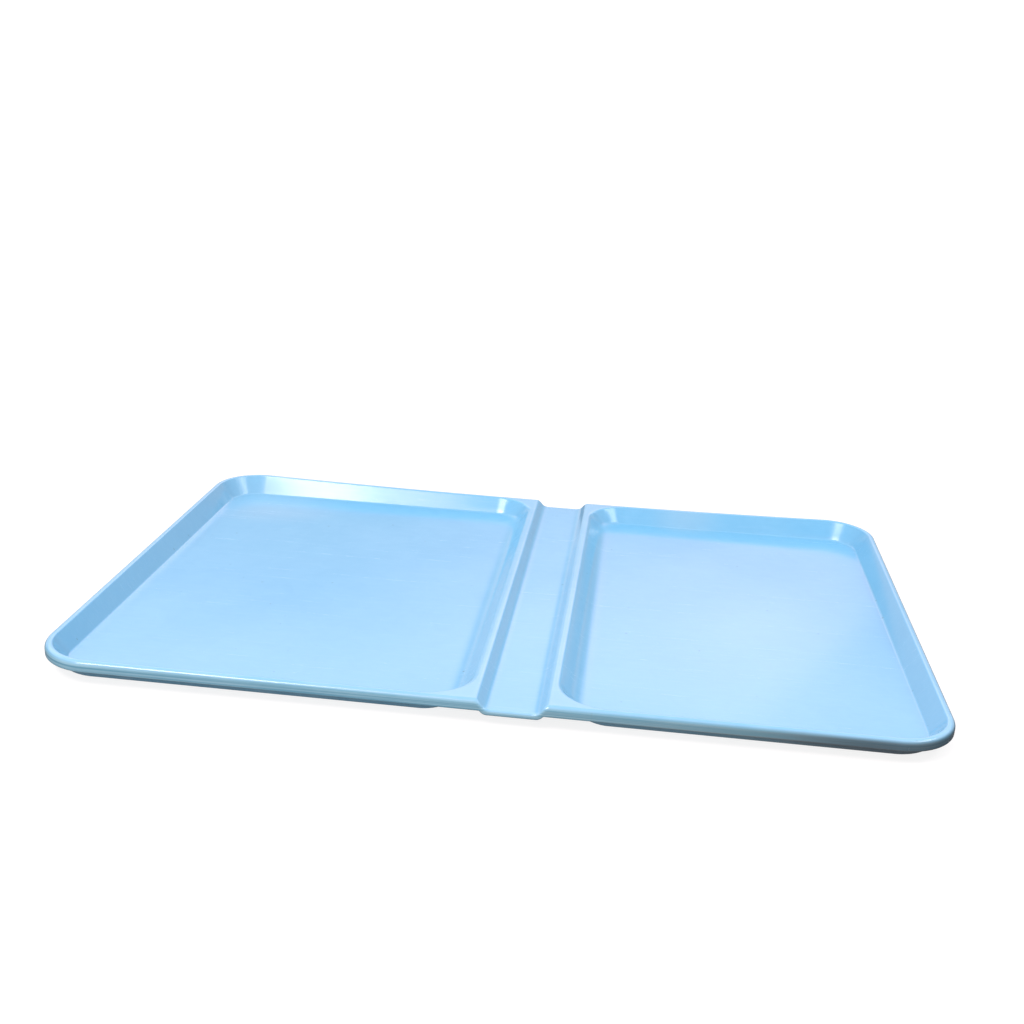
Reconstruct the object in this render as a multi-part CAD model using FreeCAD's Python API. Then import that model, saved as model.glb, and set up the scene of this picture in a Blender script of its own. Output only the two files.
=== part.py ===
import FreeCAD, Part
import math, os

# Divided tray, press-moulded in one piece from glass-fibre reinforced
# polyester: two shallow basins side by side, a shallow channel between them
# that runs out through both long edges, and a thick rim all round with a bent
# aluminium rod moulded into each outer corner.
#
# Frame: millimetres, +X along the tray (left basin on -X), +Y to the back
# edge, +Z up. Origin at the bottom centre of the whole tray: the plane that
# the basins' undersides rest on.

V = FreeCAD.Vector

# ---- driving dimensions (mm) ------------------------------------------------
LENGTH = 540.0            # overall, along X
WIDTH = 375.0             # overall, along Y
HEIGHT = 15.0             # resting plane to the top of the rim
SHEET = 3.4               # thickness of the moulded sheet
CORNER_R = 36.0           # outer plan corner

RIM_W = 4.5               # flat width of the rim, before its edges are rounded
LIP_H = 6.8               # height of the rim's outer face
LIP_TOP_R = 1.6           # rounding, rim top to outer face
LIP_BOTTOM_R = 1.0        # rounding, outer face to the lip's underside
MOUTH_R = 1.3             # rounding, rim top to basin wall

WALL_RUN = 8.5            # plan run of a basin's outer walls, rim to floor
DIVIDER_RUN = 13.0        # plan run of a basin's wall beside the channel
FLOOR_R = 4.0             # inside fillet, basin wall to floor
BASIN_R = CORNER_R - RIM_W   # mouth corner radius at the tray's corners
BASIN_DIV_R = 30.0        # mouth corner radius beside the channel

LEFT_MOUTH_X = -6.3       # left basin's mouth edge beside the channel
RIGHT_MOUTH_X = 43.2      # right basin's mouth edge beside the channel
CH_X0 = -1.6              # channel mouth, left edge
CH_X1 = 38.4              # channel mouth, right edge
CH_FLOOR_X0 = 3.7         # channel floor, left edge
CH_FLOOR_X1 = 33.2        # channel floor, right edge
CH_DEPTH = 5.8            # channel floor below the rim top
CH_TOP_R = 1.2            # rounding, ridge top to channel flank
CH_FLOOR_R = 1.6          # inside fillet, channel flank to floor
RIDGE_T = 3.4             # sheet thickness left under a ridge's top
LIP_ROOT_R = 1.0          # concave fillet, lip's underside to the walls below it

ROD_R = 1.25              # reinforcing rod, radius
ROD_IN = 3.2              # rod axis in from the rim's outer face
ROD_Z = HEIGHT - 3.7      # rod axis height
ROD_TAIL = 18.0           # straight length at each end of a rod

HX, HY = LENGTH / 2, WIDTH / 2
FLOOR_Z = SHEET           # top of the basin floors
DEPTH = HEIGHT - FLOOR_Z
CH_Z = HEIGHT - CH_DEPTH  # top of the channel floor
LIP_Z = HEIGHT - LIP_H    # underside of the rim's lip


# ---- helpers ----------------------------------------------------------------
def rounded_rect(x0, x1, y0, y1, r0, r1, z):
    """Closed plan outline at height z; r0 is the corner radius on the x0
    side, r1 on the x1 side. Always starts and runs the same way."""
    def arc(cx, cy, r, a0):
        a = [math.radians(a0), math.radians(a0 + 45), math.radians(a0 + 90)]
        return Part.Arc(*[V(cx + r * math.cos(t), cy + r * math.sin(t), z)
                          for t in a]).toShape()
    def line(ax, ay, bx, by):
        return Part.makeLine(V(ax, ay, z), V(bx, by, z))
    return Part.Wire([
        line(x0 + r0, y0, x1 - r1, y0), arc(x1 - r1, y0 + r1, r1, -90),
        line(x1, y0 + r1, x1, y1 - r1), arc(x1 - r1, y1 - r1, r1, 0),
        line(x1 - r1, y1, x0 + r0, y1), arc(x0 + r0, y1 - r0, r0, 90),
        line(x0, y1 - r0, x0, y0 + r0), arc(x0 + r0, y0 + r0, r0, 180)])


def wall(run):
    """Slope of a wall with this plan run: its run per mm of height, and the
    horizontal shift between its inner and its outer face."""
    slope = run / DEPTH
    return slope, SHEET * math.sqrt(1 + slope * slope)


def bottom_edges(solid, z):
    return [e for e in solid.Edges
            if all(abs(v.Z - z) < 1e-6 for v in e.Vertexes)]


def basin(x0, x1, run0, run1, r0, r1, outer):
    """A basin as a solid: its hollow (outer False) or the outside of its
    walls and floor (outer True). Sides x0 and x1 have their own wall runs."""
    s0, t0 = wall(run0)
    s1, t1 = wall(run1)
    sy, ty = wall(WALL_RUN)
    if not outer:
        t0 = t1 = ty = 0.0
    z_low = 0.0 if outer else FLOOR_Z
    z_top = HEIGHT
    wires = []
    for z in (z_low, z_top):
        h = HEIGHT - z
        in0, in1, iny = s0 * h - t0, s1 * h - t1, sy * h - ty
        wires.append(rounded_rect(x0 + in0, x1 - in1, -HY + RIM_W + iny,
                                  HY - RIM_W - iny,
                                  max(r0 - iny, 6.0), max(r1 - iny, 6.0), z))
    solid = Part.makeLoft(wires, True, True)
    r = FLOOR_R + (SHEET if outer else 0.0)
    return solid.makeFillet(r, bottom_edges(solid, z_low))


def polygon_round(points):
    """Closed XZ outline with rounded vertices: points are (x, z, radius)."""
    n = len(points)
    edges, ends = [], []
    for i in range(n):
        x, z, r = points[i]
        p = V(x, 0, z)
        a = V(points[i - 1][0], 0, points[i - 1][1]) - p
        b = V(points[(i + 1) % n][0], 0, points[(i + 1) % n][1]) - p
        a.normalize()
        b.normalize()
        if r <= 0:
            ends.append((p, None, p))
            continue
        half = 0.5 * a.getAngle(b)
        t = r / math.tan(half)
        mid = (a + b).normalize()
        c = p + mid * (r / math.sin(half))
        ends.append((p + a * t, c - mid * r, p + b * t))
    for i in range(n):
        s, m, e = ends[i]
        if m is not None:
            edges.append(Part.Arc(s, m, e).toShape())
        nxt = ends[(i + 1) % n][0]
        if e.distanceToPoint(nxt) > 1e-7:
            edges.append(Part.makeLine(e, nxt))
    return Part.Wire(edges)


def prism_y(points, y0, y1):
    w = polygon_round(points)
    w.translate(V(0, y0, 0))
    return Part.Face(w).extrude(V(0, y1 - y0, 0))


def rod(sx, sy):
    """Bent rod in the rim at the corner on the sx, sy side."""
    r = CORNER_R - ROD_IN
    cx, cy = HX - CORNER_R, HY - CORNER_R
    k = math.sqrt(0.5)
    p0 = V(sx * (cx - ROD_TAIL), sy * (cy + r), ROD_Z)
    p1 = V(sx * cx, sy * (cy + r), ROD_Z)
    pm = V(sx * (cx + r * k), sy * (cy + r * k), ROD_Z)
    p2 = V(sx * (cx + r), sy * cy, ROD_Z)
    p3 = V(sx * (cx + r), sy * (cy - ROD_TAIL), ROD_Z)
    path = Part.Wire([Part.makeLine(p0, p1), Part.Arc(p1, pm, p2).toShape(),
                      Part.makeLine(p2, p3)])
    section = Part.Wire([Part.makeCircle(ROD_R, p0, V(sx, 0, 0))])
    return path.makePipeShell([section], True, False)


# ---- the moulding -----------------------------------------------------------
# Rim lip: a ring, with its inside hidden in the basins' outer walls.
plan = Part.Face(rounded_rect(-HX, HX, -HY, HY, CORNER_R, CORNER_R, LIP_Z))
slab = plan.extrude(V(0, 0, LIP_H))
core = Part.Face(rounded_rect(-HX + 7.5, HX - 7.5, -HY + 7.5, HY - 7.5,
                              CORNER_R - 7.5, CORNER_R - 7.5, LIP_Z))
lip = slab.cut(core.extrude(V(0, 0, LIP_H)))

# Channel sheet with the two ridges, as one section run along Y. Its outer
# ends lie inside the basins' walls.
f0 = (CH_FLOOR_X0 - CH_X0) / CH_DEPTH          # flank run per mm of height
f1 = (CH_X1 - CH_FLOOR_X1) / CH_DEPTH
g0 = SHEET * math.sqrt(1 + f0 * f0)            # flank shift, top to underside
g1 = SHEET * math.sqrt(1 + f1 * f1)
under_z = CH_Z - SHEET
apex_z = HEIGHT - RIDGE_T


def flank_x0(z):      # underside of the left flank
    return CH_X0 + f0 * (HEIGHT - z) - g0


def flank_x1(z):      # underside of the right flank
    return CH_X1 - f1 * (HEIGHT - z) + g1


reach = 34.0          # how far the section runs past each ridge, to web the corners
sheet = [
    (LEFT_MOUTH_X - reach, HEIGHT, 0), (CH_X0, HEIGHT, 0),
    (CH_FLOOR_X0, CH_Z, 0), (CH_FLOOR_X1, CH_Z, 0),
    (CH_X1, HEIGHT, 0), (RIGHT_MOUTH_X + reach, HEIGHT, 0),
    (RIGHT_MOUTH_X + reach, apex_z, 0), (flank_x1(apex_z), apex_z, 0.6),
    (flank_x1(under_z), under_z, CH_FLOOR_R + SHEET),
    (flank_x0(under_z), under_z, CH_FLOOR_R + SHEET),
    (flank_x0(apex_z), apex_z, 0.6), (LEFT_MOUTH_X - reach, apex_z, 0),
]
channel = prism_y(sheet, -HY, HY)

# The hollow above the channel, cut from everything. It flares at its mouth,
# which rounds the inner edge of each ridge.
k0 = CH_TOP_R * math.tan(0.5 * (math.pi / 2 - math.atan(f0)))
k1 = CH_TOP_R * math.tan(0.5 * (math.pi / 2 - math.atan(f1)))
up = 5.0


def mouth_arc(xm, f, k, side):
    """Start, middle and end of the rounding between ridge top and flank."""
    top = V(xm - side * k, 0, HEIGHT)
    n = math.hypot(f, 1)
    low = V(xm + side * k * f / n, 0, HEIGHT - k / n)
    c = V(top.x, 0, HEIGHT - CH_TOP_R)
    mid = (top + low) * 0.5 - c
    return top, c + mid.normalize() * CH_TOP_R, low


a0, a1, a2 = mouth_arc(CH_X0, f0, k0, 1)
b0, b1, b2 = mouth_arc(CH_X1, f1, k1, -1)


def floor_arc(xf, f, side):
    """Start, middle and end of the fillet between flank and channel floor."""
    t = CH_FLOOR_R * math.tan(0.5 * (math.pi / 2 - math.atan(f)))
    n = math.hypot(f, 1)
    high = V(xf - side * t * f / n, 0, CH_Z + t / n)
    flat = V(xf + side * t, 0, CH_Z)
    c = V(flat.x, 0, CH_Z + CH_FLOOR_R)
    mid = (high + flat) * 0.5 - c
    return high, c + mid.normalize() * CH_FLOOR_R, flat


c0, c1, c2 = floor_arc(CH_FLOOR_X0, f0, 1)
d0, d1, d2 = floor_arc(CH_FLOOR_X1, f1, -1)
hollow_wire = Part.Wire([
    Part.makeLine(V(a0.x, 0, HEIGHT + up), a0),
    Part.Arc(a0, a1, a2).toShape(), Part.makeLine(a2, c0),
    Part.Arc(c0, c1, c2).toShape(), Part.makeLine(c2, d2),
    Part.Arc(d2, d1, d0).toShape(), Part.makeLine(d0, b2),
    Part.Arc(b2, b1, b0).toShape(),
    Part.makeLine(b0, V(b0.x, 0, HEIGHT + up)),
    Part.makeLine(V(b0.x, 0, HEIGHT + up), V(a0.x, 0, HEIGHT + up))])
hollow_wire.translate(V(0, -HY - 5, 0))
channel_hollow = Part.Face(hollow_wire).extrude(V(0, WIDTH + 10, 0))

left = dict(x0=-HX + RIM_W, x1=LEFT_MOUTH_X, run0=WALL_RUN, run1=DIVIDER_RUN,
            r0=BASIN_R, r1=BASIN_DIV_R)
right = dict(x0=RIGHT_MOUTH_X, x1=HX - RIM_W, run0=DIVIDER_RUN, run1=WALL_RUN,
             r0=BASIN_DIV_R, r1=BASIN_R)

body = lip.fuse([channel, basin(outer=True, **left), basin(outer=True, **right)])
body = body.cut([channel_hollow, basin(outer=False, **left),
                 basin(outer=False, **right)])
body = body.removeSplitter()
print("raw", body.ShapeType, len(body.Solids), body.isValid(), body.Volume)
tray = body.Solids[0]


# ---- edge roundings ---------------------------------------------------------
def mid_of(e):
    return e.valueAt(e.getParameterByLength(e.Length / 2))


def on_mouth(e):
    m = mid_of(e)
    if abs(m.z - HEIGHT) > 1e-4 or any(abs(v.Z - HEIGHT) > 1e-4 for v in e.Vertexes):
        return False
    edge_out = min(HX - abs(m.x), HY - abs(m.y))
    near_out = edge_out < 1e-3 or is_corner(m, 0.0)
    on_channel = abs(m.x - a0.x) < 1e-3 or abs(m.x - b0.x) < 1e-3
    return not near_out and not on_channel


def is_corner(m, inset):
    dx, dy = abs(m.x) - (HX - CORNER_R), abs(m.y) - (HY - CORNER_R)
    return dx > 0 and dy > 0 and abs(math.hypot(dx, dy) - (CORNER_R - inset)) < 1e-3


def on_outline(e):
    m = mid_of(e)
    return (abs(HX - abs(m.x)) < 1e-3 or abs(HY - abs(m.y)) < 1e-3
            or is_corner(m, 0.0))


def round_edges(shape, wanted, radius, name):
    edges = [e for e in shape.Edges if wanted(e)]
    out = shape.makeFillet(radius, edges)
    print(name, "edges", len(edges), "valid", out.isValid(), "volume", round(out.Volume))
    return out.Solids[0]


def upright(e):
    a, b = e.Vertexes[0], e.Vertexes[-1]
    return abs(a.X - b.X) < 1e-6 and abs(a.Y - b.Y) < 1e-6


tray = round_edges(tray, on_mouth, MOUTH_R, "basin mouths")
tray = round_edges(
    tray, lambda e: on_outline(e) and not upright(e) and mid_of(e).z > LIP_Z + 1e-3
    and all(v.Z >= CH_Z - 1e-4 for v in e.Vertexes), LIP_TOP_R, "rim top")
tray = round_edges(
    tray, lambda e: on_outline(e) and not upright(e)
    and all(v.Z <= LIP_Z + 1e-4 for v in e.Vertexes), LIP_BOTTOM_R, "lip bottom")


def lip_root(e):
    m = mid_of(e)
    inside = min(HX - abs(m.x), HY - abs(m.y)) > LIP_BOTTOM_R + 0.2
    return (abs(m.z - LIP_Z) < 1e-4 and all(abs(v.Z - LIP_Z) < 1e-4 for v in e.Vertexes)
            and inside and not is_corner(m, LIP_BOTTOM_R))


tray = round_edges(tray, lip_root, LIP_ROOT_R, "lip root")

os.makedirs("parts", exist_ok=True)

rods = {"corner_rod_front_left": rod(-1, -1), "corner_rod_front_right": rod(1, -1),
        "corner_rod_back_left": rod(-1, 1), "corner_rod_back_right": rod(1, 1)}
for name, r in rods.items():
    print(name, r.isValid(), r.ShapeType, round(r.Volume, 2))
    tray = tray.cut(r)
tray = tray.Solids[0] if tray.ShapeType != "Solid" else tray
print("tray", tray.isValid(), tray.ShapeType, tray.Volume, tray.BoundBox)

tray.exportStep("parts/tray_moulding.step")
for name, r in rods.items():
    r.exportStep("parts/%s.step" % name)
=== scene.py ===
import math

import bpy
import numpy as np
from mathutils import Matrix, Vector


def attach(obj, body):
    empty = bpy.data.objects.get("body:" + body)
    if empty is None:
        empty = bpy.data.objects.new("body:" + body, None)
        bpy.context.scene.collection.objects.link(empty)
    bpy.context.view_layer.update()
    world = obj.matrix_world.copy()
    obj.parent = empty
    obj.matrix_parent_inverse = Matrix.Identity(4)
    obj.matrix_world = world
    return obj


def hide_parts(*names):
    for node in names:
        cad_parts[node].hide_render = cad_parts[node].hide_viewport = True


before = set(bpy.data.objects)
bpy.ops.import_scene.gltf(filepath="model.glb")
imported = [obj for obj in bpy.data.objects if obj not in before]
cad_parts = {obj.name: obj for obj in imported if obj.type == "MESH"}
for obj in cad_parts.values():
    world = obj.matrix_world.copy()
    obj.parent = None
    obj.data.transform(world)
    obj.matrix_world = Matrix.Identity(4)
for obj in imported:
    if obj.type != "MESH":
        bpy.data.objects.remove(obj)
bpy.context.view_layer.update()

# =============================================================================
# The tray moulding, as one closed quad mesh. Millimetres here, metres in the
# mesh. Every outline runs the same way and has the same number of points, so
# the surface is rings round each basin and strips along the channel.
# =============================================================================
HX, HY, H, T = 270.0, 187.5, 15.0, 3.4
CORNER = 36.0
RIM_W = 4.5
LIP_Z = 8.2               # underside of the rim's lip
GROOVE_Z = 11.6           # underside of the web beside the channel
RUN, DIV_RUN = 8.5, (9.8, 11.0)     # outer walls; the walls beside the channel
MOUTH_R, DIV_MOUTH_R = 1.6, 4.0
# the curve from wall to floor: its length, and how slowly it lifts off the floor
FOOT, DIV_FOOT, CH_FOOT = (1.9, 1.0), ((12.5, 2.0), (16.0, 2.0)), (7.0, 2.0)
EDGE_R, CH_EDGE_R, EDGE_BOT_R, ROOT_R = 3.0, 1.8, 1.0, 1.1
CH_X0, CH_X1, CH_F0, CH_F1 = -1.6, 38.4, 3.7, 33.2
CH_Z = H - 5.8
CH_TOP_R, CH_UNDER_R = 3.4, 5.3
DEPTH = H - T

NC, NY, NX = 36, 44, 30   # segments in a corner, along Y, along X
NB = 2 * NX + 2 * NY + 4 * NC


def arc_profile(p, q, c, r, n):
    """n + 1 points on the arc about c from p to q, in 2D."""
    a0 = math.atan2(p[1] - c[1], p[0] - c[0])
    a1 = math.atan2(q[1] - c[1], q[0] - c[0])
    d = (a1 - a0 + math.pi) % (2 * math.pi) - math.pi
    return [(c[0] + r * math.cos(a0 + d * i / n),
             c[1] + r * math.sin(a0 + d * i / n)) for i in range(n + 1)]


def fillet2d(prev, p, nxt, r, n):
    """Points that round the vertex p between prev and nxt with radius r."""
    p, a, b = np.array(p, float), np.array(prev, float), np.array(nxt, float)
    u, v = (a - p) / np.linalg.norm(a - p), (b - p) / np.linalg.norm(b - p)
    half = 0.5 * math.acos(max(-1, min(1, float(u @ v))))
    t = r / math.tan(half)
    m = (u + v) / np.linalg.norm(u + v)
    c = p + m * (r / math.sin(half))
    return arc_profile(tuple(p + u * t), tuple(p + v * t), tuple(c), r, n)


def foot_curve(slope, length, power, n):
    """A curve that leaves a wall of the given slope and settles on a level
    floor at (0, 0): n + 1 of (x, z, angle). Power 1 is a plain arc; more than
    that lifts off the floor more slowly."""
    fine = 400
    u = (np.arange(fine) + 0.5) / fine
    a = slope * u ** power
    x = -np.concatenate([[0], np.cumsum(np.cos(a))]) * length / fine
    z = np.concatenate([[0], np.cumsum(np.sin(a))]) * length / fine
    k = np.linspace(fine, 0, n + 1).round().astype(int)
    return np.c_[x[k], z[k], slope * (k / fine) ** power]


def basin_profile(run, foot, outer, mouth_r=MOUTH_R):
    """(inset, z) down a basin wall. Inside: rim top to floor. Outside: the foot
    of the wall down to the resting plane, one sheet thickness away."""
    slope = math.atan2(DEPTH, run)
    c = foot_curve(slope, foot[0], foot[1], 14)
    start = (DEPTH - c[0, 1]) * run / DEPTH        # inset where the curve begins
    low = np.c_[c[:, 0] - c[0, 0] + start, c[:, 1] + T]
    if outer:
        return low - T * np.c_[np.sin(c[:, 2]), np.cos(c[:, 2])]
    pts = fillet2d((-9.0, H), (0.0, H), (run, T), mouth_r, 7)
    a, b = pts[-1], low[0]
    pts += [(a[0] + (b[0] - a[0]) * t, a[1] + (b[1] - a[1]) * t)
            for t in (0.2, 0.4, 0.6, 0.8)]
    return np.array(pts + low.tolist())


def ring_frame(x0, x1, r0, r1):
    """Ellipse centres and straight-side stations for a basin's rings."""
    return dict(x0=x0, x1=x1, y0=-HY + RIM_W, y1=HY - RIM_W, r0=r0, r1=r1)


def side_mix():
    """Per ring point: weights of the x0 side, x1 side and y sides."""
    w0, w1, wy = np.zeros(NB), np.zeros(NB), np.zeros(NB)
    i = 0
    for kind in ("y0", "c10", "x1", "c11", "y1", "c01", "x0", "c00"):
        if kind[0] == "c":
            for j in range(NC):
                t = j / NC
                s = 0.5 - 0.5 * math.cos(math.pi * t)
                into_x = kind in ("c10", "c01")
                wx = s if into_x else 1 - s
                (w1 if kind[1] == "1" else w0)[i] = wx
                wy[i] = 1 - wx
                i += 1
        else:
            n = NX if kind[0] == "y" else NY
            for j in range(n):
                {"y0": wy, "y1": wy, "x0": w0, "x1": w1}[kind][i] = 1.0
                i += 1
    return w0, w1, wy


W0, W1, WY = side_mix()


def ring(fr, s0, s1, sy):
    """Plan points of a ring inset by s0, s1 on the x sides and sy on the y
    sides. Corners are quarter ellipses that share the mouth's centres."""
    x0, x1, y0, y1, r0, r1 = (fr[k] for k in ("x0", "x1", "y0", "y1", "r0", "r1"))
    pts = []
    xa, xb = x0 + r0, x1 - r1

    def corner(cx, cy, ax, ay, sx, sgn, start):
        for j in range(NC):
            t = 0.5 * math.pi * j / NC
            c, s = math.cos(t), math.sin(t)
            if start == "y":        # from a y side round to an x side
                pts.append((cx + sx * ax * s, cy + sgn * ay * c))
            else:
                pts.append((cx + sx * ax * c, cy + sgn * ay * s))

    for j in range(NX):
        pts.append((xa + (xb - xa) * j / NX, y0 + sy))
    corner(xb, y0 + r1, r1 - s1, r1 - sy, 1, -1, "y")
    for j in range(NY):
        pts.append((x1 - s1, y0 + r1 + (y1 - y0 - 2 * r1) * j / NY))
    corner(xb, y1 - r1, r1 - s1, r1 - sy, 1, 1, "x")
    for j in range(NX):
        pts.append((xb + (xa - xb) * j / NX, y1 - sy))
    corner(xa, y1 - r0, r0 - s0, r0 - sy, -1, 1, "y")
    for j in range(NY):
        pts.append((x0 + s0, y1 - r0 + (y0 - y1 + 2 * r0) * j / NY))
    corner(xa, y0 + r0, r0 - s0, r0 - sy, -1, -1, "x")
    return np.array(pts)


def block_outline(fr, x_ch, ch_side, inset):
    """The outline round one basin's surround: the tray's outline, inset, on
    three sides and the line x = x_ch beside the channel on the fourth."""
    x0, x1, y0, y1, r0, r1 = (fr[k] for k in ("x0", "x1", "y0", "y1", "r0", "r1"))
    xa, xb = x0 + r0, x1 - r1
    yo = HY - inset
    ro = CORNER - inset
    out = []
    x_end = (HX - inset) * (-1 if ch_side == 1 else 1)
    cxo = (HX - CORNER) * (-1 if ch_side == 1 else 1)
    cyo = HY - CORNER
    ry = {0: r0, 1: r1}

    def sharp(yc_from, yc_sgn, first):
        """Corner beside the channel: along y = +-yo, then along x = x_ch."""
        xs = xb if ch_side == 1 else xa
        r = ry[ch_side]
        ye = yc_sgn * (HY - RIM_W - r)
        a = [(xs + (x_ch - xs) * j / (NC // 2), yc_sgn * yo) for j in range(NC // 2)]
        b = [(x_ch, yc_sgn * yo + (ye - yc_sgn * yo) * j / (NC // 2)) for j in range(NC // 2)]
        if first == "y":
            return a + b
        rev = [(x_ch, ye)] + b[:0:-1] + [(x_ch, yc_sgn * yo)] + a[:0:-1]
        return rev

    def round_(yc_sgn, first):
        sx = -1 if ch_side == 1 else 1
        res = []
        for j in range(NC):
            t = 0.5 * math.pi * j / NC
            c, s = math.cos(t), math.sin(t)
            if first == "y":
                res.append((cxo + sx * ro * s, yc_sgn * (cyo + ro * c)))
            else:
                res.append((cxo + sx * ro * c, yc_sgn * (cyo + ro * s)))
        return res

    xl = cxo if ch_side == 1 else xa
    xr = xb if ch_side == 1 else cxo
    out += [(xl + (xr - xl) * j / NX, -yo) for j in range(NX)]
    out += sharp(None, -1, "y") if ch_side == 1 else round_(-1, "y")
    if ch_side == 1:
        r = r1
        out += [(x_ch, -(HY - RIM_W - r) + 2 * (HY - RIM_W - r) * j / NY) for j in range(NY)]
        out += sharp(None, 1, "x")
    else:
        out += [(x_end, -cyo + 2 * cyo * j / NY) for j in range(NY)]
        out += round_(1, "x")
    out += [(xr + (xl - xr) * j / NX, yo) for j in range(NX)]
    if ch_side == 1:
        out += round_(1, "y")
        out += [(x_end, cyo - 2 * cyo * j / NY) for j in range(NY)]
        out += round_(-1, "x")
    else:
        out += sharp(None, 1, "y")
        r = r0
        out += [(x_ch, (HY - RIM_W - r) - 2 * (HY - RIM_W - r) * j / NY) for j in range(NY)]
        out += sharp(None, -1, "x")
    return np.array(out)


class Mesh:
    def __init__(self):
        self.v, self.f, self.tag = [], [], []

    def add(self, pts, tag):
        """Adds points (n, 3) and returns their indices. tag is (wear, side)."""
        start = len(self.v)
        pts = np.asarray(pts, float)
        tags = np.broadcast_to(np.asarray(tag, float), (len(pts), 2))
        self.v += [tuple(p) for p in pts]
        self.tag += [tuple(t) for t in tags]
        return list(range(start, start + len(pts)))

    def loop_strip(self, a, b, flip=False):
        n = len(a)
        for i in range(n):
            j = (i + 1) % n
            q = (a[i], a[j], b[j], b[i])
            self.f.append(q[::-1] if flip else q)

    def grid(self, rows, flip=False):
        for a, b in zip(rows[:-1], rows[1:]):
            for i in range(len(a) - 1):
                q = (a[i], a[i + 1], b[i + 1], b[i])
                self.f.append(q[::-1] if flip else q)


def fill_floor(m, loop, z_of, flip, tag):
    """Fills a floor inside a ring with a grid of quads from side to side."""
    # the grid's own four corners are the middles of the rounded corners
    k = NC // 2
    i00 = NB - NC + k
    order = [loop[(i00 + j) % NB] for j in range(NB)]
    nb, ns = NX + NC, NY + NC
    bottom = order[:nb + 1]
    right = order[nb:nb + ns + 1]
    top = order[nb + ns:2 * nb + ns + 1][::-1]
    left = (order[2 * nb + ns:] + [order[0]])[::-1]
    V = lambda ids: np.array([m.v[i] for i in ids])
    B, R, Tt, L = V(bottom), V(right), V(top), V(left)
    rows = [bottom]
    for j in range(1, ns):
        t = j / ns
        row = [left[j]]
        pts = []
        for i in range(1, nb):
            s = i / nb
            p = ((1 - t) * B[i] + t * Tt[i] + (1 - s) * L[j] + s * R[j]
                 - ((1 - s) * (1 - t) * B[0] + s * (1 - t) * B[-1]
                    + (1 - s) * t * Tt[0] + s * t * Tt[-1]))
            pts.append((p[0], p[1], z_of(p[0], p[1])))
        row += m.add(pts, tag)
        row.append(right[j])
        rows.append(row)
    rows.append(top)
    m.grid(rows, flip)


def smoothstep(x):
    x = np.clip(x, 0.0, 1.0)
    return x * x * (3 - 2 * x)


def under_z(y):
    """Underside height of the flat surround near the channel: lip at the
    tray's edge, web further in."""
    return LIP_Z + (GROOVE_Z - LIP_Z) * smoothstep((182.0 - abs(y)) / 3.0)


# channel section: tops of the two ridges' inner edges, flanks and floor
F0 = (CH_F0 - CH_X0) / (H - CH_Z)
F1 = (CH_X1 - CH_F1) / (H - CH_Z)


def channel_foot(run, x_edge, sgn):
    """Foot of a channel flank whose top edge is at x_edge, from flank to floor."""
    c = foot_curve(math.atan2(H - CH_Z, run), CH_FOOT[0], CH_FOOT[1], 10)
    start = (H - CH_Z - c[0, 1]) * run / (H - CH_Z)
    return [(x_edge + sgn * (start + p[0] - c[0, 0]), CH_Z + p[1]) for p in c]


CHT = (fillet2d((CH_X0 - 9, H), (CH_X0, H), (CH_F0, CH_Z), CH_TOP_R, 6),
       channel_foot(CH_F0 - CH_X0, CH_X0, 1),
       channel_foot(CH_X1 - CH_F1, CH_X1, -1)[::-1],
       fillet2d((CH_F1, CH_Z), (CH_X1, H), (CH_X1 + 9, H), CH_TOP_R, 6))


def between(p, q, n):
    return [(p[0] + (q[0] - p[0]) * t / n, p[1] + (q[1] - p[1]) * t / n) for t in range(1, n)]


CH_TOP = (CHT[0] + between(CHT[0][-1], CHT[1][0], 4) + CHT[1]
          + between(CHT[1][-1], CHT[2][0], 14) + CHT[2]
          + between(CHT[2][-1], CHT[3][0], 4) + CHT[3])
X_RIDGE0, X_RIDGE1 = CH_TOP[0][0], CH_TOP[-1][0]
G0, G1 = T * math.sqrt(1 + F0 * F0), T * math.sqrt(1 + F1 * F1)
UZ = CH_Z - T


def flank0(z):
    return CH_X0 + F0 * (H - z) - G0


def flank1(z):
    return CH_X1 - F1 * (H - z) + G1


def channel_under(z_edge):
    """Underside section below the channel, from the left root to the right."""
    r = CH_UNDER_R
    a = fillet2d((flank0(z_edge) - 9, z_edge), (flank0(z_edge), z_edge),
                 (flank0(UZ), UZ), ROOT_R, 6)
    b = fillet2d((flank0(z_edge), z_edge), (flank0(UZ), UZ), (flank1(UZ), UZ), r, 10)
    c = fillet2d((flank0(UZ), UZ), (flank1(UZ), UZ), (flank1(z_edge), z_edge), r, 10)
    d = fillet2d((flank1(UZ), UZ), (flank1(z_edge), z_edge), (flank1(z_edge) + 9, z_edge),
                 ROOT_R, 6)
    return (a + between(a[-1], b[0], 4) + b + between(b[-1], c[0], 14) + c
            + between(c[-1], d[0], 4) + d)


def normals2d(pts, up):
    """Unit normals of an XZ polyline, on the upper or lower side."""
    P = np.array(pts)
    t = np.gradient(P, axis=0)
    n = np.stack([-t[:, 1], t[:, 0]], 1)
    n /= np.linalg.norm(n, axis=1)[:, None]
    return n if up else -n


m = Mesh()
BLOCKS = [
    dict(fr=ring_frame(-HX + RIM_W, -6.3, CORNER - RIM_W, 30.0), side=1,
         run0=RUN, run1=DIV_RUN[0], fr0=FOOT, fr1=DIV_FOOT[0], m0=MOUTH_R, m1=DIV_MOUTH_R),
    dict(fr=ring_frame(43.2, HX - RIM_W, 30.0, CORNER - RIM_W), side=0,
         run0=DIV_RUN[1], run1=RUN, fr0=DIV_FOOT[1], fr1=FOOT, m0=DIV_MOUTH_R, m1=MOUTH_R),
]


def mix(p0, p1, py):
    return (W0[:, None] * p0[None] + W1[:, None] * p1[None] + WY[:, None] * py[None])


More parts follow.
